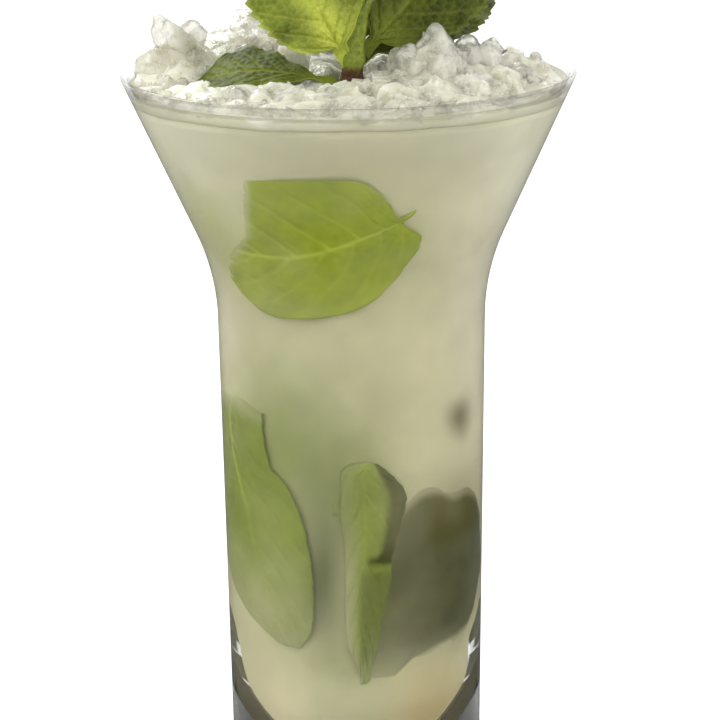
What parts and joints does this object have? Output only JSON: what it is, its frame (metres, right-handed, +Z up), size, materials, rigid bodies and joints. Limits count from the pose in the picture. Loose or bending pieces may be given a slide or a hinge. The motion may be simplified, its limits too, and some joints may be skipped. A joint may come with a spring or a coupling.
{
  "type": "mojito cocktail",
  "caption": "Cloudy lime and mint cocktail in a tall flared glass, heaped with crushed ice and topped with a fresh mint sprig.",
  "frame": {"origin": "centre of the glass's foot, on the surface that it stands on", "axes": "+Z up along the glass's axis; -Y is the side shown, +X to its right"},
  "size_m": [0.0944, 0.0944, 0.2045],
  "materials": {
    "glass": "clear, polished",
    "drink": "cloudy pale grey-green liquid, stands in for food",
    "crushed_ice": "wet, broken, translucent ice",
    "mint_leaf": "quilted fresh leaf, satin, stands in for food",
    "mint_stem": "fresh green stem, reddish brown at its foot, stands in for food"
  },
  "bodies": {
    "root": {"crushed_ice": "crushed_ice", "drink": "drink", "glass": "glass", "mint_leaf_back": "mint_leaf", "mint_leaf_back_left": "mint_leaf", "mint_leaf_crown_back": "mint_leaf", "mint_leaf_crown_front": "mint_leaf", "mint_leaf_crown_left": "mint_leaf", "mint_leaf_crown_right": "mint_leaf", "mint_leaf_left": "mint_leaf", "mint_leaf_resting": "mint_leaf", "mint_leaf_right": "mint_leaf", "mint_leaf_right_low": "mint_leaf", "mint_leaf_upper_back_left": "mint_leaf", "mint_leaf_upper_back_right": "mint_leaf", "mint_leaf_upper_left": "mint_leaf", "mint_leaf_upper_right": "mint_leaf", "mint_stem": "mint_stem"}
  },
  "joints": []
}
